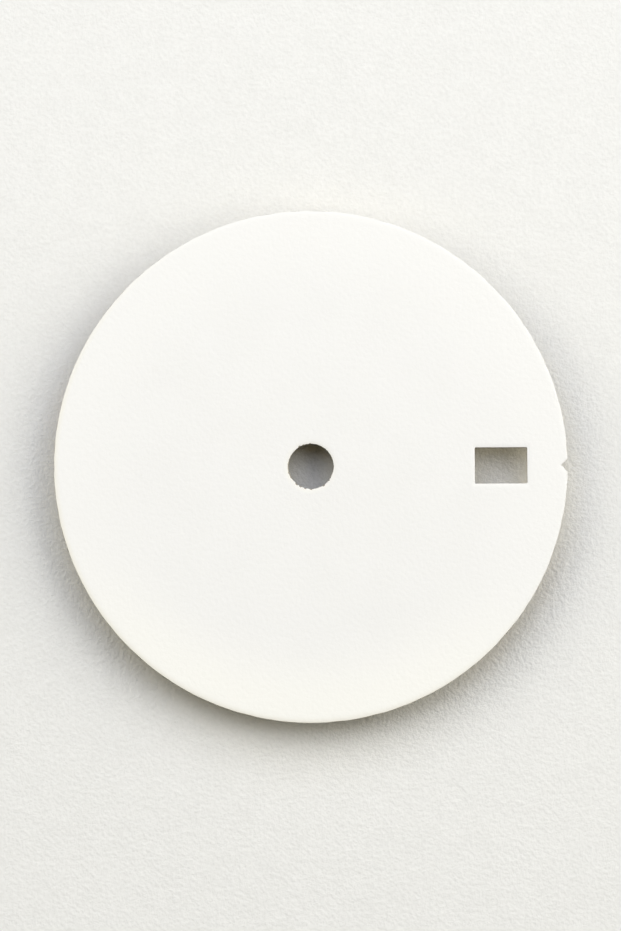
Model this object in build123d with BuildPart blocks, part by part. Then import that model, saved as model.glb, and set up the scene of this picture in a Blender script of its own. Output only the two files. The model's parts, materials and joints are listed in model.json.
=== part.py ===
from build123d import *
from math import cos, radians, sin, tan
import os

# Blank calendar watch dial, in millimetres.
# The origin is on the axis of the centre hole, at the back face of the plate,
# where the dial seats on the movement. +Z points out of the lacquered face,
# +X points to 3 o'clock and +Y to 12 o'clock.

# Plate
dial_diameter = 28.5
plate_thickness = 0.4
back_rim_chamfer = 0.05

# Lacquer on the front of the plate
lacquer_thickness = 0.05
lacquer_rim_radius = 0.035

# Centre hole, where the pipes that carry the hands come through
centre_hole_diameter = 2.5

# Date window at 3 o'clock, its length along the dial's radius.
# The margin is the land left between the window and the rim.
window_length = 2.9
window_height = 2.0
window_corner_radius = 0.05
window_rim_margin = 2.25

# V notch in the rim at 3 o'clock, in line with the winding stem
notch_depth = 0.35
notch_angle = 92.0
notch_tip_radius = 0.03

# Dial feet: a pin and a round head that sits in a shallow recess in the back.
# The margin is from the rim to the axis of a foot, which clears the date disc.
# Each angle is in degrees, anticlockwise from 3 o'clock as the face is seen.
# The dial has two pairs of feet, so that it fits a movement whose stem points
# to 3 o'clock, and one whose stem is turned clockwise from there.
foot_rim_margin = 1.75
right_foot_angle = -23.5
left_foot_angle = 165.7
stem_turn = 24.0
foot_pin_diameter = 0.7
foot_length = 1.8
foot_tip_chamfer = 0.08
foot_head_diameter = 1.2
foot_recess_depth = 0.12

# Solder that fills the gap round the head and climbs the root of the pin
solder_gap = 0.06
solder_height = 0.24
solder_hollow = 0.05

# How far a cutting shape runs past the material that it cuts
overrun = 0.5

# Sizes worked out from those above
dial_radius = dial_diameter / 2
window_centre_radius = dial_radius - window_rim_margin - window_length / 2
foot_circle_radius = dial_radius - foot_rim_margin
foot_pin_radius = foot_pin_diameter / 2
foot_head_radius = foot_head_diameter / 2
foot_recess_radius = foot_head_radius + solder_gap
notch_mouth_x = dial_radius + overrun
notch_mouth_y = (notch_depth + overrun) * tan(radians(notch_angle / 2))
foot_angles = {
    "near_four": right_foot_angle,
    "near_five": right_foot_angle - stem_turn,
    "near_nine": left_foot_angle,
    "near_ten": left_foot_angle - stem_turn,
}


def foot_seat(angle):
    """Point on the back face where a foot's axis meets it."""
    return (
        foot_circle_radius * cos(radians(angle)),
        foot_circle_radius * sin(radians(angle)),
        0,
    )


os.makedirs("parts", exist_ok=True)

# V notch: a wedge that runs past the rim, with a small radius at its tip
with BuildSketch() as notch:
    with BuildLine():
        Polyline(
            (dial_radius - notch_depth, 0),
            (notch_mouth_x, notch_mouth_y),
            (notch_mouth_x, -notch_mouth_y),
            close=True,
        )
    make_face()
    fillet(notch.vertices().sort_by(Axis.X)[0], notch_tip_radius)

# Outline that the plate and its lacquer share
with BuildSketch() as dial_outline:
    Circle(dial_radius)
    Circle(centre_hole_diameter / 2, mode=Mode.SUBTRACT)
    with Locations((window_centre_radius, 0)):
        RectangleRounded(
            window_length,
            window_height,
            window_corner_radius,
            mode=Mode.SUBTRACT,
        )
    add(notch.sketch, mode=Mode.SUBTRACT)

# Brass plate: the outline, a broken rim at the back and a recess for each foot
with BuildPart() as dial_plate:
    with BuildSketch():
        add(dial_outline.sketch)
    extrude(amount=plate_thickness)
    back_rim = dial_plate.faces().sort_by(Axis.Z)[0].outer_wire()
    chamfer(back_rim.edges(), back_rim_chamfer)
    with BuildSketch():
        with Locations([foot_seat(angle) for angle in foot_angles.values()]):
            Circle(foot_recess_radius)
    extrude(amount=foot_recess_depth, mode=Mode.SUBTRACT)
dial_plate.part.label = "dial_plate"
export_step(dial_plate.part, "parts/dial_plate.step")

# White lacquer: one even coat over the front, rounded over at the rim
with BuildPart() as lacquer_coat:
    with BuildSketch(Plane.XY.offset(plate_thickness)):
        add(dial_outline.sketch)
    extrude(amount=lacquer_thickness)
    front_rim = lacquer_coat.faces().sort_by(Axis.Z)[-1].outer_wire()
    fillet(front_rim.edges(), lacquer_rim_radius)
lacquer_coat.part.label = "lacquer_coat"
export_step(lacquer_coat.part, "parts/lacquer_coat.step")

# Each foot and its solder ring stand on the back face, at the foot's own angle
for place, angle in foot_angles.items():
    seat = foot_seat(angle)

    # Copper foot: the head fills the recess and the pin stands on the back face
    with BuildPart() as dial_foot:
        with BuildSketch(Plane(origin=seat)):
            Circle(foot_head_radius)
        extrude(amount=foot_recess_depth)
        with BuildSketch(Plane(origin=seat)):
            Circle(foot_pin_radius)
        extrude(amount=-foot_length)
        foot_tip = dial_foot.faces().sort_by(Axis.Z)[0]
        chamfer(foot_tip.edges(), foot_tip_chamfer)
    dial_foot.part.label = f"dial_foot_{place}"
    export_step(dial_foot.part, f"parts/dial_foot_{place}.step")

    # Solder ring: one half of its section, turned about the axis of the foot
    with BuildPart() as solder_ring:
        with BuildSketch(Plane(origin=seat, x_dir=(1, 0, 0), z_dir=(0, -1, 0))):
            with BuildLine():
                Polyline(
                    (foot_pin_radius, -solder_height),
                    (foot_pin_radius, 0),
                    (foot_head_radius, 0),
                    (foot_head_radius, foot_recess_depth),
                    (foot_recess_radius, foot_recess_depth),
                    (foot_recess_radius, 0),
                )
                SagittaArc(
                    (foot_recess_radius, 0),
                    (foot_pin_radius, -solder_height),
                    -solder_hollow,
                )
            make_face()
        revolve(axis=Axis(seat, (0, 0, 1)))
    solder_ring.part.label = f"solder_ring_{place}"
    export_step(solder_ring.part, f"parts/solder_ring_{place}.step")
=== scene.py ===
# %% [markdown]
# # A blank watch dial, white lacquer on brass
#
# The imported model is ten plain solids: a brass plate, its coat of white lacquer, four copper
# feet and the rings of solder that hold them. This lesson makes each of them again as a fine
# mesh with its own finish, stands the dial on paper as it stands in the photograph, and lights
# it with a few soft lamps. Sizes are in millimetres until a mesh is made.

# %% Load the frame
import json
import bpy
import numpy as np
from mathutils import Matrix, Vector
from mathutils.geometry import delaunay_2d_cdt


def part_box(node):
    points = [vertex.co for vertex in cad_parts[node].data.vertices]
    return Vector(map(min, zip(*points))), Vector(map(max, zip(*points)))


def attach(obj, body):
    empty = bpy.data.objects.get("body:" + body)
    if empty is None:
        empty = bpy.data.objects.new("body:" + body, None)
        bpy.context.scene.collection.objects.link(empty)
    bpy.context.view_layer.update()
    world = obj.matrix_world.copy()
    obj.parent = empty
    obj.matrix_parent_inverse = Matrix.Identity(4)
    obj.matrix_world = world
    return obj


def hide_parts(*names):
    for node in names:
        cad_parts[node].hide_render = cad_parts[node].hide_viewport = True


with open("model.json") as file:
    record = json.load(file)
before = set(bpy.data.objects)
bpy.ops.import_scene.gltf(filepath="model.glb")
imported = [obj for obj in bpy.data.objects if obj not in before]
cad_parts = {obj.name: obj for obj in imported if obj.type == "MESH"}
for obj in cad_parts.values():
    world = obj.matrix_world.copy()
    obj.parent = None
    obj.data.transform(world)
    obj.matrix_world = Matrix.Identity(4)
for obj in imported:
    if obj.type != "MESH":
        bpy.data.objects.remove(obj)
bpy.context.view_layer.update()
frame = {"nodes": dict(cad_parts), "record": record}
print("nodes:", ", ".join(sorted(frame["nodes"])))

# %% Sizes that the frame gives
METRES = 0.001
mounts = {mount["name"]: mount for mount in frame["record"]["mounts"]}
plate_low, plate_high = np.array(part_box("dial_plate")) / METRES
face_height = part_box("lacquer_coat")[1].z / METRES

dial_radius = plate_high[1]
back_height = plate_low[2]
front_height = plate_high[2]
hole_radius = mounts["centre_hole"]["dims"]["r_mm"]
window_centre = np.array(mounts["date_window"]["pos_m"][:2]) / METRES
foot_places = [name.removeprefix("foot_pin_") for name in mounts if name.startswith("foot_pin_")]
foot_axes = {
    place: np.array(mounts[f"foot_pin_{place}"]["pos_m"][:2]) / METRES
    for place in foot_places
}
print(f"dial {2 * dial_radius:.2f} mm across, {face_height - back_height:.2f} mm thick")

# %% [markdown]
# ## The three cut edges
#
# A press cuts the blank, the centre hole, the date window and the V notch out of sheet. Each
# edge could be a curve with a bevel, but then the notch's sharp mouth would fold over itself.
# Here each edge is a function that gives its closed row of points for any distance into the
# sheet, so a section drawn once can be carried along it, and its corners stay true mitres.

# %% The rim with its notch
notch_depth = 0.35
notch_angle = 92.0
notch_tip_radius = 0.03
notch_mouth_radius = 0.04
least_radius = 0.01


def arc(centre, radius, start, end, count):
    """Points on a circle from one angle to another, without the last: centre + radius * (cos, sin)."""
    angles = np.linspace(start, end, count, endpoint=False)
    return centre + radius * np.column_stack([np.cos(angles), np.sin(angles)])


def rim_loop(inset, tip_count=10, side_count=24, mouth_count=6, rim_count=540):
    """The dial's outline, moved inwards by inset.

    The upper half is an arc round the notch's tip, the straight side of the V, a small arc at
    its mouth and half of the big circle. The mouth's arc touches both the side and the circle.
    The lower half is the upper one mirrored in the X axis.
    """
    side = np.radians(notch_angle / 2)
    along = np.array([np.cos(side), np.sin(side)])
    into = np.array([-np.sin(side), np.cos(side)])
    tip = np.array([dial_radius - notch_depth, 0.0])
    tip_centre = tip + [notch_tip_radius / np.sin(side), 0.0]
    tip_radius = notch_tip_radius + inset

    mouth_radius = max(notch_mouth_radius - inset, least_radius)
    foot_of_side = tip + (inset + mouth_radius) * into
    middle_radius = dial_radius - inset - mouth_radius
    lead = foot_of_side @ along
    run = np.sqrt(lead**2 - foot_of_side @ foot_of_side + middle_radius**2) - lead
    mouth_centre = foot_of_side + run * along
    mouth_angle = np.arctan2(mouth_centre[1], mouth_centre[0])

    side_start = tip_centre + tip_radius * into
    side_end = mouth_centre - mouth_radius * into
    steps = np.linspace(0, 1, side_count, endpoint=False)[:, None]
    upper = np.concatenate([
        arc(tip_centre, tip_radius, np.pi, side + np.pi / 2, tip_count),
        side_start + (side_end - side_start) * steps,
        arc(mouth_centre, mouth_radius, side - np.pi / 2, mouth_angle, mouth_count),
        arc(np.zeros(2), dial_radius - inset, mouth_angle, np.pi, rim_count),
        [[inset - dial_radius, 0.0]],
    ])
    lower = upper[-2:0:-1] * [1, -1]
    return np.concatenate([upper, lower])


print("points round the rim:", len(rim_loop(0.0)))

# %% The centre hole and the date window
window_length = 2.9
window_height = 2.0
window_corner_radius = 0.05


def circle(count):
    """Points all round a circle of radius 1: (cos, sin)."""
    angles = np.linspace(0, 2 * np.pi, count, endpoint=False)
    return np.column_stack([np.cos(angles), np.sin(angles)])


def hole_loop(outset, count=480):
    """The centre hole, widened by outset: a circle."""
    return (hole_radius + outset) * circle(count)


def window_loop(outset, side_count=40, corner_count=8):
    """The date window, widened by outset: a rectangle whose corners are arcs.

    Each corner's arc has its own fixed centre, so widening the window only adds to the radius.
    """
    half = np.array([window_length, window_height]) / 2 - window_corner_radius
    radius = window_corner_radius + outset
    steps = np.linspace(0, 1, side_count, endpoint=False)[:, None]
    loop = []
    for turn, signs in enumerate([(1, 1), (-1, 1), (-1, -1), (1, -1)]):
        start = turn * np.pi / 2
        centre = window_centre + half * signs
        next_centre = window_centre + half * [(-1, 1), (-1, -1), (1, -1), (1, 1)][turn]
        outwards = radius * np.array([np.cos(start + np.pi / 2), np.sin(start + np.pi / 2)])
        loop.append(arc(centre, radius, start, start + np.pi / 2, corner_count))
        loop.append(centre + outwards + (next_centre - centre) * steps)
    return np.concatenate(loop)


print("points round the hole and the window:", len(hole_loop(0.0)), len(window_loop(0.0)))

# %% [markdown]
# ## A shell of rows, bands and fields
#
# Every piece is a closed shell. Along each edge it is a section carried round a loop: one row
# of points for each point of the section, and a band of quads between neighbouring rows. What
# is left is flat, and a constrained triangulation fills it between the last rows. A boolean
# cut could do the same, but it leaves long slivers right where the edges catch the light.

# %% The shell
def within(loop, places):
    """Which places lie inside a closed loop: a ray from each crosses it an odd number of times."""
    ends = np.roll(loop, -1, axis=0)
    x, y = places[:, :1], places[:, 1:]
    spans = (loop[:, 1] > y) != (ends[:, 1] > y)
    rise = np.where(ends[:, 1] == loop[:, 1], 1.0, ends[:, 1] - loop[:, 1])
    meets = loop[:, 0] + (y - loop[:, 1]) * (ends[:, 0] - loop[:, 0]) / rise
    return ((spans & (x < meets)).sum(axis=1) % 2).astype(bool)


class Shell:
    """Gathers the rows of points and the faces of one closed mesh."""

    def __init__(self):
        self.points = []
        self.marks = []
        self.faces = []
        self.total = 0

    def row(self, loop, height, mark=0.0):
        """Add a loop of points at a height, marked with how near it is to a cut edge."""
        count = len(loop)
        self.points.append(np.column_stack([loop, np.full(count, 1.0) * height]))
        self.marks.append(np.full(count, 1.0) * mark)
        self.total += count
        return np.arange(self.total - count, self.total)

    def band(self, first, second):
        """Join two rows by quads that face outwards when the rows run anticlockwise."""
        after_first, after_second = np.roll(first, -1), np.roll(second, -1)
        quads = np.column_stack([first, after_first, after_second, second])
        self.faces.extend(quads.tolist())

    def sweep(self, rows):
        """Join a list of rows, each to the next, and give back the first and the last."""
        for first, second in zip(rows, rows[1:]):
            self.band(first, second)
        return rows[0], rows[-1]

    def field(self, outer, holes=(), upwards=True):
        """Fill the flat field inside one row and outside the others."""
        points = np.concatenate(self.points)[:, :2]
        rows = [outer, *holes]
        numbers = np.concatenate(rows)
        starts = np.cumsum([0] + [len(row) for row in rows[:-1]])
        edges = np.concatenate([
            start + np.column_stack([np.arange(len(row)), np.roll(np.arange(len(row)), -1)])
            for start, row in zip(starts, rows)
        ])
        flat = [Vector(point) for point in points[numbers]]
        made = delaunay_2d_cdt(flat, edges.tolist(), [], 0, 1e-7, True)
        origin = np.array([sources[0] for sources in made[3]])
        triangles = numbers[origin[np.array(made[2])]]
        middles = points[triangles].mean(axis=1)
        keep = within(points[outer], middles)
        for hole in holes:
            keep &= ~within(points[hole], middles)
        triangles = triangles[keep]
        a, b, c = (points[triangles[:, corner]] for corner in range(3))
        turn = (b - a)[:, 0] * (c - a)[:, 1] - (b - a)[:, 1] * (c - a)[:, 0]
        clockwise = (turn < 0) == upwards
        triangles[clockwise] = triangles[clockwise][:, ::-1]
        self.faces.extend(triangles.tolist())


# %% From a shell to a piece
crease_angle = 34.0


def make_piece(name, shell, node):
    """Put a shell in a mesh, in metres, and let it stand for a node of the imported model."""
    mesh = bpy.data.meshes.new(name)
    points = np.concatenate(shell.points) * METRES
    mesh.from_pydata(points.tolist(), [], shell.faces)
    mesh.shade_smooth()
    mesh.set_sharp_from_angle(angle=np.radians(crease_angle))
    edge = mesh.attributes.new("edge", "FLOAT", "POINT")
    edge.data.foreach_set("value", np.concatenate(shell.marks))
    piece = bpy.data.objects.new(name, mesh)
    bpy.context.collection.objects.link(piece)
    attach(piece, "root")
    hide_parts(node)

    mesh.calc_loop_triangles()
    corners = np.zeros(3 * len(mesh.loop_triangles), dtype=np.int64)
    mesh.loop_triangles.foreach_get("vertices", corners)
    a, b, c = points[corners.reshape(-1, 3)].transpose(1, 0, 2)
    volume = (a * np.cross(b, c)).sum() / 6 / METRES**3
    sides = np.sort([(e, f) for face in shell.faces for e, f in zip(face, face[1:] + face[:1])])
    uses = np.unique(sides, axis=0, return_counts=True)[1]
    print(f"{name}: {len(corners) // 3} triangles, {volume:.3f} mm3, open edges {(uses != 2).sum()}")
    return piece


# %% [markdown]
# ## How a pressed edge is rounded
#
# The punch drags the front of the sheet down a little before it cuts, so brass and lacquer
# both fall away in a soft curve over the last few tenths of a millimetre. This roll is what
# draws the bright line above each edge and the grey one below it. Lacquer also pulls back
# from the corner and ends in a small round of its own, which bares a hair of brass.

# %% The rolled edge
edge_width = 0.6
roll_depth = 0.03
plate_round = 0.012
roll_steepness = 5
crowding = 1.7

# Rows lie closer together towards an edge, where the roll is steepest
inset_steps = np.linspace(0, 1, 13) ** crowding
round_steps = np.linspace(0, np.pi / 2, 6)


def roll(inset):
    """How far the sheet has dropped near its edge: depth * (1 - inset / width) ** steepness."""
    return roll_depth * np.clip(1 - inset / edge_width, 0, 1) ** roll_steepness


def rounded(inset, radius):
    """How far a round of some radius has dropped at a distance from its edge: a quarter circle."""
    short = np.clip(radius - inset, 0, radius)
    return radius - np.sqrt(radius**2 - short**2)


def front_of_plate(inset):
    """Height of the brass under the lacquer."""
    return front_height - roll(inset) - rounded(inset, plate_round)


def wander(count, waves, seed):
    """A closed uneven line between about -1 and 1: sines of whole waves with random phases."""
    chance = np.random.default_rng(seed)
    angles = np.linspace(0, 2 * np.pi, count, endpoint=False)[:, None]
    numbers = np.arange(waves[0], waves[1])
    phases = chance.uniform(0, 2 * np.pi, len(numbers))
    sizes = chance.normal(0, 1, len(numbers)) / np.sqrt(len(numbers))
    return (sizes * np.sin(numbers * angles + phases)).sum(axis=1)


# %% [markdown]
# ## The plate
#
# Rolled brass, 0.4 mm thick. Its rim has been turned clean after the press, its back corner is
# broken so that it drops into the movement's seat, and two shallow round recesses take the
# feet. Only its cut edges show from the front; the back shows all of it.

# %% Sections of the plate
back_chamfer = 0.05
hole_break = 0.02
window_break = 0.012
cut_hollow = 0.004
cut_mark = 0.5


def plate_section(broken):
    """Rows of (inset, height, edge mark) from the field at the back to the field at the front.

    The mark is 0 on the fields, cut_mark on the cut wall and 1 on the ledge that lacquer has bared.
    """
    back = [(edge_width, 0.0, 0.0), (edge_width / 2, 0.0, 0.0), (edge_width / 4, 0.0, 0.0)]
    corner = [(broken, 0.0, cut_mark), (0.0, broken, cut_mark)]
    top = front_height - roll_depth - plate_round
    wall = [
        (cut_hollow * np.sin(np.pi * share), broken + (top - broken) * share, cut_mark)
        for share in np.linspace(0, 1, 7)[1:]
    ]
    round_insets = plate_round * (1 - np.cos(round_steps[1:]))
    roll_insets = plate_round + (edge_width - plate_round) * inset_steps[1:]
    front = [
        (inset, front_of_plate(inset), max(0.0, 1 - 2 * inset / edge_width))
        for inset in np.concatenate([round_insets, roll_insets])
    ]
    return back + corner + wall + front


plate = Shell()
rim_rows = [plate.row(rim_loop(inset), z, mark) for inset, z, mark in plate_section(back_chamfer)]
rim_back, rim_front = plate.sweep(rim_rows)

openings = []
for loop, broken in ((hole_loop, hole_break), (window_loop, window_break)):
    section = plate_section(broken)[::-1]
    openings.append(plate.sweep([plate.row(loop(inset), z, mark) for inset, z, mark in section]))

# %% Recesses and fields of the plate
recess_radius = 0.66
recess_depth = 0.12
recess_round = 0.015


def ring(place, radius, count=120):
    """A circle of some radius round the axis of a foot."""
    return foot_axes[place] + radius * circle(count)


recess_mouths = []
for place in foot_places:
    rows = [plate.row(ring(place, recess_radius), recess_depth, cut_mark)]
    for turn in round_steps:
        radius = recess_radius + recess_round * (1 - np.cos(turn))
        rows.append(plate.row(ring(place, radius), recess_round * (1 - np.sin(turn)), cut_mark))
    recess_floor, recess_mouth = plate.sweep(rows)
    plate.field(recess_floor, upwards=False)
    recess_mouths.append(recess_mouth)

front_rows, back_rows = zip(*openings)
plate.field(rim_front, front_rows)
plate.field(rim_back, [*back_rows, *recess_mouths], upwards=False)
brass_plate = make_piece("brass_plate", plate, "dial_plate")

# %% [markdown]
# ## The lacquer
#
# Several sprayed coats, rubbed flat and 0.05 mm thick in all. It could be the plate's own
# front face in white, but its thickness shows at every edge, so it is a skin of its own. At
# the rim it ends unevenly, a hair short of the brass. The centre hole was cut through it
# afterwards, and there the brittle film has flaked in small bites.

# %% How far the lacquer lies back from each edge
coat_setback = 0.005
least_setback = 0.001
rim_wander = 0.008
hole_wander = 0.008
window_wander = 0.002

# Each flake: its direction in degrees anticlockwise from 3 o'clock, its depth and half its width
hole_flakes = [
    (-57, 0.070, 3.0),
    (-90, 0.060, 2.6),
    (-105, 0.050, 2.4),
    (-118, 0.060, 3.0),
    (-129, 0.065, 3.4),
    (-153, 0.050, 3.5),
    (-163, 0.060, 4.0),
    (-174, 0.035, 3.0),
    (-185, 0.045, 4.0),
    (-197, 0.030, 3.0),
    (120, 0.060, 3.2),
    (110, 0.030, 2.4),
    (92, 0.035, 2.2),
    (-38, 0.040, 2.2),
    (-171, 0.034, 26.0),
]


def flaked(count):
    """Depth of the flakes round the hole: for each, depth * exp(-(turn / width) ** 4)."""
    angles = np.linspace(0, 360, count, endpoint=False)[:, None]
    directions, depths, widths = np.array(hole_flakes).T
    turn = (angles - directions + 180) % 360 - 180
    return (depths * np.exp(-((turn / widths) ** 4))).max(axis=1)


def drawn_back(loop, inset, setback):
    """A loop at an inset from the lacquer's own edge, which lies back from the brass by setback.

    Each point moves on into the sheet by setback * (1 - inset / width), along the spoke that
    joins the loop at inset 0 with the loop at the full width.
    """
    spokes = (loop(edge_width) - loop(0.0)) / edge_width
    shift = setback * (1 - inset / edge_width)
    return loop(inset) + shift[:, None] * spokes, inset + shift


# %% The skin of lacquer
coat_round = 0.018


def coat_rows(shell, loop, setback):
    """Rows of the lacquer along one edge, from the field beneath it to the field on top."""
    rows = []
    for inset in edge_width * inset_steps[::-1]:
        points, depth = drawn_back(loop, inset, setback)
        rows.append(shell.row(points, front_of_plate(depth), 1 - inset / edge_width))
    round_insets = coat_round * (1 - np.cos(round_steps))
    roll_insets = coat_round + (edge_width - coat_round) * inset_steps[1:]
    for inset in np.concatenate([round_insets, roll_insets]):
        points, depth = drawn_back(loop, inset, setback)
        height = face_height - roll(depth) - rounded(inset, coat_round)
        rows.append(shell.row(points, height, 1 - inset / edge_width))
    return rows


def setback_line(loop, size, waves, seed, extra=0.0):
    """How far the lacquer lies back along a loop: an even setback, an uneven line and any flakes."""
    return np.maximum(coat_setback + size * wander(len(loop(0.0)), waves, seed), least_setback) + extra


coat = Shell()
rim_setback = setback_line(rim_loop, rim_wander, (6, 90), 11)
coat_back, coat_front = coat.sweep(coat_rows(coat, rim_loop, rim_setback))

coat_openings = []
hole_setback = setback_line(hole_loop, hole_wander, (5, 60), 12, flaked(len(hole_loop(0.0))))
window_setback = setback_line(window_loop, window_wander, (4, 40), 13)
for loop, setback in ((hole_loop, hole_setback), (window_loop, window_setback)):
    coat_openings.append(coat.sweep(coat_rows(coat, loop, setback)[::-1]))

front_rows, back_rows = zip(*coat_openings)
coat.field(coat_front, front_rows)
coat.field(coat_back, back_rows, upwards=False)
lacquer_skin = make_piece("lacquer_skin", coat, "lacquer_coat")

# %% [markdown]
# ## The feet
#
# Copper wire, headed like a small nail. The head lies in its recess and the pin stands out of
# the back. A turned section is enough for it: rings of points round the foot's axis, from the
# hollow that the cutter leaves in the tip, up the pin, and out round the head.

# %% The feet
foot_tip = min(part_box(f"dial_foot_{place}")[0].z for place in foot_places) / METRES
pin_radius = mounts[f"foot_pin_{foot_places[0]}"]["dims"]["r_mm"]
head_radius = 0.6
tip_chamfer = 0.08
tip_hollow = 0.012
chamfer_soft = 0.01
chamfer_drop = 0.008
chamfer_rise = 0.012
pin_start = 0.15
head_round = 0.02
ring_count = 96


def turned(shell, place, section, closed=False):
    """Carry a section of (radius, height, edge mark) round a foot's axis, from the tip upwards."""
    rows = [
        shell.row(ring(place, np.reshape(radius, (-1, 1)), ring_count), z, mark)
        for radius, z, mark in section
    ]
    return shell.sweep(rows + rows[:1] if closed else rows)


def foot_section():
    """The foot's outline from the middle of its tip to the top of its head."""
    flat_radius = pin_radius - tip_chamfer
    tip = [
        (flat_radius * share, foot_tip + tip_hollow * (1 - share**2), 0.2)
        for share in (0.15, 0.4, 0.7, 0.92)
    ]
    chamfer = [
        (flat_radius, foot_tip, 1.0),
        (pin_radius - chamfer_soft, foot_tip + tip_chamfer - chamfer_drop, 1.0),
        (pin_radius, foot_tip + tip_chamfer + chamfer_rise, 0.7),
    ]
    pin = [(pin_radius, z, 0.0) for z in np.linspace(foot_tip + pin_start, 0.0, 12)]
    head = [
        (head_radius - head_round, 0.0, 0.4),
        (head_radius, head_round, 1.0),
        (head_radius, recess_depth - head_round, 1.0),
        (head_radius - head_round, recess_depth, 0.4),
    ]
    return tip + chamfer + pin + head


copper_feet = []
for place in foot_places:
    foot = Shell()
    tip_row, head_row = turned(foot, place, foot_section())
    foot.field(tip_row, upwards=False)
    foot.field(head_row)
    copper_feet.append(make_piece(f"copper_foot_{place}", foot, f"dial_foot_{place}"))

# %% [markdown]
# ## The solder
#
# Molten solder fills the gap round the head and climbs the pin. Its surface is hollow, and it
# meets pin and plate at almost no angle. No two joints are alike, so the height that it climbs
# and the edge that it creeps to both wander round the pin.

# %% The solder
solder_climb = 0.225
solder_creep = 0.06
climb_wander = 0.05
creep_share = 0.6
creep_wander = 0.4
solder_seed = 31


def solder_section(seed):
    """The ring's closed section: a hollow quarter from the pin to the plate, then round the head.

    The hollow is radius = pin + spread * (1 - cos t), height = -climb * (1 - sin t).
    """
    climb = solder_climb * (1 + climb_wander * wander(ring_count, (1, 7), seed))
    creep = solder_creep * (creep_share + creep_wander * wander(ring_count, (1, 9), seed + 1))
    spread = recess_radius - pin_radius + creep
    hollow = [
        (pin_radius + spread * (1 - np.cos(turn)), -climb * (1 - np.sin(turn)), np.sin(turn) ** 8)
        for turn in np.linspace(0, np.pi / 2, 12)
    ]
    hidden = [
        (recess_radius, 0.0, 0.0),
        (recess_radius, recess_depth, 0.0),
        (head_radius, recess_depth, 0.0),
        (head_radius, 0.0, 0.0),
        (pin_radius, 0.0, 0.0),
    ]
    return hollow + hidden


solder_fillets = []
for number, place in enumerate(foot_places):
    solder = Shell()
    turned(solder, place, solder_section(solder_seed + 2 * number), closed=True)
    name = f"solder_fillet_{place}"
    solder_fillets.append(make_piece(name, solder, f"solder_ring_{place}"))

# %% [markdown]
# ## Shader maths
#
# A material is a graph of nodes. Written out node by node it is long and hard to read, so one
# small class wraps a socket: `+`, `-`, `*` and `/` on it add Math nodes, and one method adds
# any other node. A finish then reads like the formula that it is.

# %% A wire between nodes
class Wire:
    """A socket of a material, with arithmetic that adds Math nodes."""

    def __init__(self, tree, socket=None):
        self.tree = tree
        self.socket = socket

    def node(self, kind, settings=None, inputs=None, output=0):
        """Add a node: first its settings, then the values or links of its sockets."""
        added = self.tree.nodes.new(kind)
        for name, value in (settings or {}).items():
            setattr(added, name, value)
        for name, value in (inputs or {}).items():
            if isinstance(value, Wire):
                self.tree.links.new(value.socket, added.inputs[name])
            else:
                added.inputs[name].default_value = value
        return Wire(self.tree, added.outputs[output]) if added.outputs else None

    def math(self, operation, first, second=0.0):
        return self.node("ShaderNodeMath", {"operation": operation}, {0: first, 1: second})

    def __add__(self, other):
        return self.math("ADD", self, other)

    def __sub__(self, other):
        return self.math("SUBTRACT", self, other)

    def __mul__(self, other):
        return self.math("MULTIPLY", self, other)

    def __truediv__(self, other):
        return self.math("DIVIDE", self, other)

    def __rsub__(self, other):
        return self.math("SUBTRACT", other, self)

    def __rtruediv__(self, other):
        return self.math("DIVIDE", other, self)

    __radd__ = __add__
    __rmul__ = __mul__

    def between(self, low, high):
        """0 below low, 1 above high, and a smooth step from one to the other."""
        settings = {"interpolation_type": "SMOOTHSTEP"}
        return self.node("ShaderNodeMapRange", settings, {0: self, 1: low, 2: high, 3: 0.0, 4: 1.0})

    def blend(self, first, second):
        """A colour: the first where this wire is 0 and the second where it is 1."""
        return self.node("ShaderNodeMix", {"data_type": "RGBA"}, {0: self, 6: first, 7: second}, 2)

    def scaled(self, factors):
        """A place with each of its three lengths multiplied."""
        return self.node("ShaderNodeVectorMath", {"operation": "MULTIPLY"}, {0: self, 1: factors})

    def vector(self, operation, other=None):
        """A number worked out from this place, and from another one where it is given."""
        inputs = {0: self} if other is None else {0: self, 1: other}
        return self.node("ShaderNodeVectorMath", {"operation": operation}, inputs, "Value")

    def length(self):
        """How far this place is from the origin, in metres."""
        return self.vector("LENGTH")

    def distance(self, centre):
        """How far this place is from another."""
        return self.vector("DISTANCE", centre)

    def along(self, way):
        """How far this place lies along a direction."""
        return self.vector("DOT_PRODUCT", way)

    def noise(self, size, detail=2.0, roughness=0.5):
        """Smooth noise with patches of about this size, in millimetres."""
        inputs = {"Vector": self, "Scale": 1 / (size * METRES), "Detail": detail, "Roughness": roughness}
        return self.node("ShaderNodeTexNoise", None, inputs)


def new_finish(name):
    """An empty material, and a wire that its first nodes are added from."""
    material = bpy.data.materials.new(name)
    material.use_nodes = True
    material.node_tree.nodes.clear()
    return material, Wire(material.node_tree)


def close_finish(bench, heights, **sockets):
    """End a finish: a Principled shader, with bumps from (height in mm, wire) pairs in a row."""
    normal = None
    for depth, height in heights:
        inputs = {"Strength": 1.0, "Distance": depth * METRES, "Height": height}
        if normal is not None:
            inputs["Normal"] = normal
        normal = bench.node("ShaderNodeBump", None, inputs)
    inputs = {}
    for name, value in sockets.items():
        inputs[name.replace("_", " ").title().replace("Ior", "IOR")] = value
    if normal is not None:
        inputs["Normal"] = normal
    shader = bench.node("ShaderNodeBsdfPrincipled", None, inputs)
    bench.node("ShaderNodeOutputMaterial", None, {"Surface": shader})


def rgb(red, green, blue):
    return (red, green, blue, 1.0)
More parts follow.
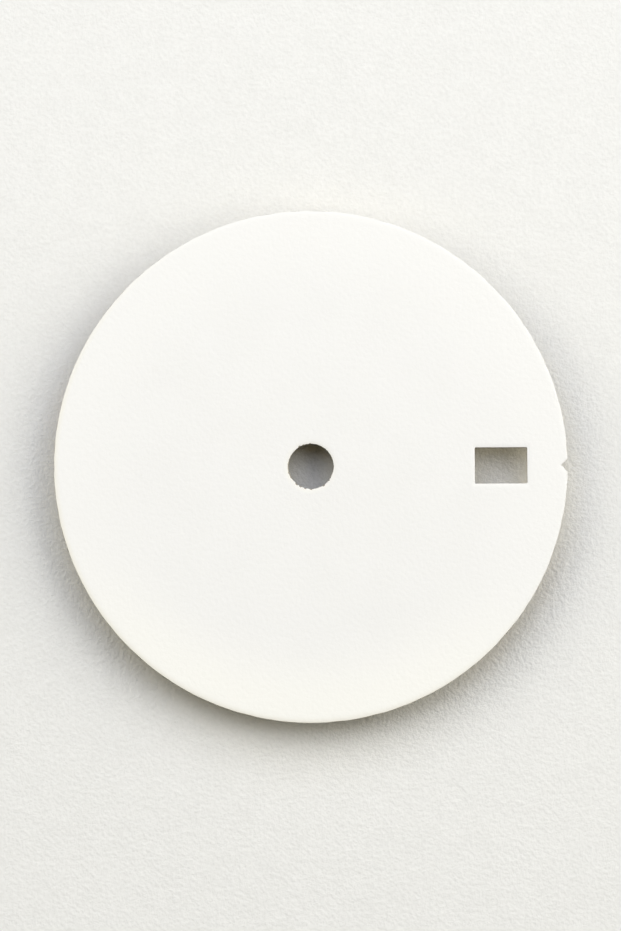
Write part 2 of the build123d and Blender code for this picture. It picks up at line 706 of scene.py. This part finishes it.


# %% [markdown]
# ## White lacquer
#
# Rubbed cellulose lacquer: a warm white with a soft sheen and no mirror. Up close it has a
# very fine tooth, faint clouds where the coats differ, and a few specks of dust. Its colour is
# painted a little lighter towards the rim and warmer towards the lower rim, as painted light, and
# cream at the edges on that side: partly lacquer thinning over brass, partly a painted warm
# reflection, since it is kept to the lower side.

# %% White lacquer
lacquer_middle = rgb(0.896, 0.879, 0.843)
# Painted light: the lacquer is painted lighter towards the rim
lacquer_rim_painted_light = rgb(0.915, 0.897, 0.857)
# Painted warm light: lighter and warmer at the lower rim
lacquer_painted_warm_light = rgb(0.951, 0.930, 0.864)
lacquer_cloud = rgb(0.886, 0.869, 0.832)
# Partly lacquer thinning over brass, partly a painted warm reflection on the lower edges
lacquer_cream_and_painted_reflection = rgb(0.91, 0.875, 0.775)
speck_colour = rgb(0.78, 0.75, 0.69)
# Clock hour of the painted warm light
painted_warm_light_hour = 6.2
# Clock hour of the painted warm reflection on the cream edges
cream_reflection_hour = 7.4
cloud_size = 3.2
swell_size, swell_depth = 0.9, 0.0012
skin_size, skin_depth = 0.24, 0.015
lacquer_specular = 0.3


def towards_hour(place, hour):
    """How far a place lies towards a clock hour: 0 at the centre and 1 at the rim."""
    turn = np.radians(30 * hour)
    return place.along((np.sin(turn), np.cos(turn), 0.0)) / (dial_radius * METRES)


white_lacquer, bench = new_finish("white_lacquer")
place = bench.node("ShaderNodeTexCoord", output="Object")
edge = bench.node("ShaderNodeAttribute", {"attribute_name": "edge"}, output="Fac")
cloud = place.noise(cloud_size, 3.0).between(0.35, 0.7)
skin = place.noise(skin_size, 3.0)
swell = place.noise(swell_size, 1.0)
outwards = place.length() / (dial_radius * METRES)
# Painted light: the face is painted lighter towards the rim
white = outwards.between(0.6, 1.0).blend(cloud.blend(lacquer_middle, lacquer_cloud), lacquer_rim_painted_light)
# Painted warm light: the lower rim is painted warmer and lighter
painted_warm_light = towards_hour(place, painted_warm_light_hour).between(0.3, 0.9) * outwards.between(0.65, 0.95)
white = painted_warm_light.blend(white, lacquer_painted_warm_light)
# Cream edges: lacquer thinning over brass, kept to the lower side as a painted warm reflection
cream_and_reflection = edge.between(0.4, 1.1) * towards_hour(place, cream_reflection_hour).between(-0.6, 0.7)
colour = cream_and_reflection.blend(white, lacquer_cream_and_painted_reflection)

# Each speck: its place on the face, its radius and how dark it is
specks = [
    (5.53, 9.11, 0.06, 0.35),
    (-9.40, -0.44, 0.07, 0.35),
    (9.47, 8.78, 0.06, 0.35),
    (-8.62, 5.45, 0.30, 0.10),
    (-9.59, 4.73, 0.05, 0.30),
    (-9.14, 4.45, 0.14, 0.10),
]
for x, y, radius, strength in specks:
    centre = (x * METRES, y * METRES, face_height * METRES)
    away = place.distance(centre)
    spot = (1 - away.between(0.4 * radius * METRES, radius * METRES)) * strength
    colour = spot.blend(colour, speck_colour)

close_finish(
    bench,
    [(swell_depth, swell), (skin_depth, skin)],
    base_color=colour,
    roughness=0.42 + skin * 0.12,
    specular_ior_level=lacquer_specular,
)
lacquer_skin.data.materials.append(white_lacquer)

# %% [markdown]
# ## Brass, copper and solder
#
# Brass shows on the plate's cut edges and its back. It is a pale brass. The back was lapped in
# one direction and has dulled in patches; a cut edge has fine lines along the way the punch
# went. Cut walls are painted dark, as painted shade along each edge, with patches of tarnish,
# and the ledge that the lacquer bares is painted darker still, as painted shade.
# Copper is drawn wire with lines along it. Solder has frozen bright and slightly pitted.

# %% Brass
brass_bright = rgb(0.67, 0.60, 0.41)
brass_dull = rgb(0.50, 0.45, 0.31)
# Painted shade: cut walls are dark, standing in for shade along each edge; the stain patches are tarnish
brass_cut_tarnish_and_shade = rgb(0.25, 0.215, 0.145)
# Painted shade: the bared ledge is darker still
brass_bared_painted_shade = rgb(0.22, 0.20, 0.16)
lap_angle = 24.0
lap_line_size = 0.035
punch_line_size = 0.03
patch_size = 2.4
stain_size = 0.5
brass_line_depth = 0.0008

plate_brass, bench = new_finish("plate_brass")
place = bench.node("ShaderNodeTexCoord", output="Object")
edge = bench.node("ShaderNodeAttribute", {"attribute_name": "edge"}, output="Fac")
lap_turn = (0.0, 0.0, np.radians(lap_angle))
lapped = bench.node("ShaderNodeMapping", None, {"Vector": place, "Rotation": lap_turn})
lap_lines = lapped.scaled((0.04, 1.0, 1.0)).noise(lap_line_size, 3.0, 0.6)
punch_lines = place.scaled((1.0, 1.0, 0.06)).noise(punch_line_size, 2.0, 0.6)
patches = place.noise(patch_size, 4.0, 0.6).between(0.42, 0.72)
stain = place.noise(stain_size, 3.0, 0.6).between(0.45, 0.75)
lines = edge.between(0.2, 0.5)
bared = edge.between(0.6, 0.9)
grain = lines * punch_lines + (1 - lines) * lap_lines
field_colour = (patches * 0.6).blend(brass_bright, brass_dull)
# Cut walls: painted shade, with patches of tarnish
colour = lines.blend(field_colour, (stain * 0.5).blend(brass_cut_tarnish_and_shade, brass_dull))
# Bared ledge: painted shade
colour = bared.blend(colour, brass_bared_painted_shade)
close_finish(
    bench,
    [(brass_line_depth, grain)],
    base_color=colour,
    metallic=1.0,
    roughness=0.26 + grain * 0.12 + patches * 0.1 + bared * 0.2,
)
brass_plate.data.materials.append(plate_brass)

# %% Copper
copper_bright = rgb(0.80, 0.44, 0.30)
copper_dull = rgb(0.52, 0.27, 0.17)
drawn_line_size, drawn_line_depth = 0.03, 0.0009
copper_patch_size = 0.45

foot_copper, bench = new_finish("foot_copper")
place = bench.node("ShaderNodeTexCoord", output="Object")
edge = bench.node("ShaderNodeAttribute", {"attribute_name": "edge"}, output="Fac")
drawn_lines = place.scaled((1.0, 1.0, 0.05)).noise(drawn_line_size, 2.0, 0.6)
patches = place.noise(copper_patch_size, 4.0, 0.6).between(0.4, 0.7)
colour = (patches * 0.7).blend(copper_bright, copper_dull)
colour = (edge * 0.4).blend(colour, copper_bright)
close_finish(
    bench,
    [(drawn_line_depth, drawn_lines)],
    base_color=colour,
    metallic=1.0,
    roughness=0.28 + drawn_lines * 0.12 + patches * 0.1,
)
for foot in copper_feet:
    foot.data.materials.append(foot_copper)

# %% Solder
solder_bright = rgb(0.70, 0.70, 0.68)
solder_dull = rgb(0.45, 0.45, 0.44)
pit_size, pit_depth = 0.07, 0.002
solder_patch_size = 0.25

bright_solder, bench = new_finish("bright_solder")
place = bench.node("ShaderNodeTexCoord", output="Object")
pits = place.noise(pit_size, 3.0, 0.6)
patches = place.noise(solder_patch_size, 3.0, 0.6).between(0.45, 0.75)
close_finish(
    bench,
    [(pit_depth, pits)],
    base_color=(patches * 0.7).blend(solder_bright, solder_dull),
    metallic=1.0,
    roughness=0.22 + pits * 0.15 + patches * 0.15,
)
for fillet in solder_fillets:
    fillet.data.materials.append(bright_solder)

# %% [markdown]
# ## How the dial stands, and the camera
#
# Four feet of one length stand on the paper, so the dial is level with it and nothing has to
# be turned out of the shared frame. The photograph looks down from 4.95 degrees off the
# vertical, on the side of half past six, and from so far away that the holes show no
# perspective. A very long lens does the same. The dial's 3 o'clock points a quarter of a
# degree above level.

# %% Camera
photo_height = 931
dial_pixels = 256.95
picture_turn = np.radians(0.27)
dial_from_middle = (0.50, 0.80)
camera_distance = 500.0
camera_lean = 4.95
camera_hour = 6.63
sensor_width = 36.0
nearest_seen, farthest_seen = 0.01, 10.0


def towards(hour, height):
    """The way to a clock hour on the dial, raised by an angle in degrees over the paper."""
    turn, rise = np.radians(30 * hour), np.radians(height)
    return np.array([np.cos(rise) * np.sin(turn), np.cos(rise) * np.cos(turn), np.sin(rise)])


out = towards(camera_hour, 90 - camera_lean)
level = np.array([1.0, 0.0, 0.0]) - out[0] * out
level /= np.linalg.norm(level)
rising = np.cross(out, level)
photo_right = np.cos(picture_turn) * level - np.sin(picture_turn) * rising
photo_up = np.cross(out, photo_right)

pixel = dial_radius / dial_pixels
picture_middle = (
    np.array([0.0, 0.0, face_height])
    - dial_from_middle[0] * pixel * photo_right
    + dial_from_middle[1] * pixel * photo_up
)
camera_data = bpy.data.cameras.new("camera")
camera_data.sensor_width = sensor_width
camera_data.lens = sensor_width * camera_distance / (photo_height * pixel)
camera_data.clip_start = nearest_seen
camera_data.clip_end = farthest_seen
camera = bpy.data.objects.new("camera", camera_data)
bpy.context.collection.objects.link(camera)
camera_place = Matrix.Translation((picture_middle + camera_distance * out) * METRES)
camera_turn = Matrix([photo_right, photo_up, out]).transposed().to_4x4()
camera.matrix_world = camera_place @ camera_turn
bpy.context.scene.camera = camera
print(f"lens {camera_data.lens:.0f} mm at {camera_distance:.0f} mm")

# %% [markdown]
# ## Paper
#
# The dial stands on a sheet of white paper. Its tooth is mostly relief, so it shows best in the
# half shadow near the rim, where light comes from one side only. It is a little coarser towards
# the bottom of the picture, and more so close round the dial's sides and lower edge, where the
# paper has been handled, and each pair of feet has pressed it down a little. The sheet is a
# wide disc that fades into the backdrop before its edge, so low views show no hard horizon, and
# it keeps the dial's shadow.

# %% The sheet of paper
paper_white = rgb(0.916, 0.901, 0.863)
paper_shade = rgb(0.833, 0.819, 0.781)
paper_radius = 170.0
fade_from = 45.0
fade_to = 160.0
backdrop_colour = rgb(0.90, 0.895, 0.87)
tooth_size, mottle_size = 0.22, 1.1
tooth_depth = 0.036

# Each shallow dent that a pair of feet has pressed into the paper: its clock hour and its depth
paper_dents = [(4.5, 0.19), (9.6, 0.05)]


def paper_sheet(rings=24, spokes=96):
    """A flat disc under the feet: radius * (cos, sin)."""
    radii = paper_radius * np.linspace(0, 1, rings + 1)[1:, None, None] ** 1.5
    points = np.concatenate([np.zeros((1, 2)), (radii * circle(spokes)).reshape(-1, 2)])
    points = np.column_stack([points, np.full(len(points), foot_tip)])
    numbers = 1 + np.arange(rings * spokes).reshape(rings, spokes)
    after = np.roll(numbers, -1, axis=1)
    quads = np.stack([numbers[:-1], numbers[1:], after[1:], after[:-1]], axis=2).reshape(-1, 4)
    fan = np.column_stack([np.zeros(spokes, int), numbers[0], after[0]])
    return points, fan.tolist() + quads.tolist()


points, faces = paper_sheet()
paper_mesh = bpy.data.meshes.new("paper")
paper_mesh.from_pydata((points * METRES).tolist(), [], faces)
paper = bpy.data.objects.new("paper", paper_mesh)
bpy.context.collection.objects.link(paper)

paper_finish, bench = new_finish("paper")
place = bench.node("ShaderNodeTexCoord", output="Object")
tooth = place.noise(tooth_size, 3.0, 0.6)
mottle = place.noise(mottle_size, 2.0)
reach = place.length() / (dial_radius * METRES)
height_on_picture = towards_hour(place, 0)
coarse = 1 - height_on_picture.between(-1.2, 0.0)
handled = (1 - reach.between(1.08, 1.25)) * (1 - height_on_picture.between(0.1, 0.8))
tone = (tooth * 0.4 + mottle * 0.15 + 0.225).between(0.3, 0.7)
relief = (tooth + mottle * 0.5) * (1 + coarse * 0.3 + handled * 0.7) * tooth_depth
for hour, depth in paper_dents:
    pressed = towards_hour(place, hour).between(0.85, 1.0) * (1 - reach.between(0.98, 1.08))
    relief = relief - pressed * depth
bump = bench.node("ShaderNodeBump", None, {"Distance": METRES, "Height": relief})
paper_colour = tone.blend(paper_shade, paper_white)
sheet = bench.node("ShaderNodeBsdfDiffuse", None, {"Color": paper_colour, "Normal": bump})
fade = place.length().between(fade_from * METRES, fade_to * METRES)
clear = bench.node("ShaderNodeBsdfTransparent")
paper_shader = bench.node("ShaderNodeMixShader", None, {0: fade, 1: sheet, 2: clear})
bench.node("ShaderNodeOutputMaterial", None, {"Surface": paper_shader})
paper_mesh.materials.append(paper_finish)

# %% [markdown]
# ## Light
#
# The shadows in the photograph fall towards half past six and are very soft, and hardly any
# light comes from below the picture. Three broad panels do the same: a large one at the right,
# a smaller and warmer one at the left, and a cooler one above. A sky could light it too, but
# panels can be moved and dimmed one by one.

# %% Lamps
panel_count = 24
panel_steps = (np.arange(panel_count) + 0.5) / panel_count - 0.5


def lamp(name, hour, height, distance, size, share, colour):
    """A square panel that faces the dial, placed by the clock hour and its angle over the paper.

    Its light on the paper is power / pi times the mean over the panel of
    cos(at the panel) * cos(at the paper) / distance**2, and white paper gives back that over pi.
    So where the shares times their colours add up to about one, paper renders at its own colour.
    """
    way = towards(hour, height)
    across = np.cross([0.0, 0.0, 1.0], way)
    across /= np.linalg.norm(across)
    sideways = size * panel_steps[:, None, None] * across
    upwards = size * panel_steps[None, :, None] * np.cross(way, across)
    spots = (distance * way + sideways + upwards) * METRES
    reach = np.linalg.norm(spots, axis=2)
    falling = ((spots @ way) * spots[:, :, 2] / reach**4).mean()
    data = bpy.data.lights.new(name, "AREA")
    data.shape = "SQUARE"
    data.size = size * METRES
    data.color = colour
    data.energy = np.pi**2 * share / falling
    light = bpy.data.objects.new(name, data)
    light.location = Vector(distance * METRES * way)
    light.rotation_euler = Vector(way).to_track_quat("Z", "Y").to_euler()
    light.visible_camera = False
    bpy.context.collection.objects.link(light)
    print(f"{name}: {data.energy:.2f} W")


# Each panel: its name, clock hour, angle over the paper, distance, size, share and colour
panels = [
    ("right_panel", 2.6, 36, 300, 340, 0.41, (1.0, 0.98, 0.885)),
    ("left_panel", 9.6, 36, 300, 240, 0.265, (1.0, 0.97, 0.85)),
    ("top_panel", 0.0, 58, 300, 340, 0.435, (0.78, 0.84, 1.0)),
]
for panel in panels:
    lamp(*panel)

# %% The room
world = bpy.data.worlds.new("room")
world.use_nodes = True
world.node_tree.nodes.clear()
bpy.context.scene.world = world
bench = Wire(world.node_tree)
seen = bench.node("ShaderNodeLightPath", output="Is Camera Ray")
mirrored = bench.node("ShaderNodeLightPath", output="Is Glossy Ray")
passed = bench.node("ShaderNodeLightPath", output="Is Transmission Ray")
shown = bench.math("MINIMUM", seen + mirrored + passed, 1.0)
backdrop = bench.node("ShaderNodeBackground", None, {"Color": backdrop_colour, "Strength": shown})
bench.node("ShaderNodeOutputWorld", None, {"Surface": backdrop})

# %% Colour, and the end
bpy.context.scene.view_settings.view_transform = "Standard"
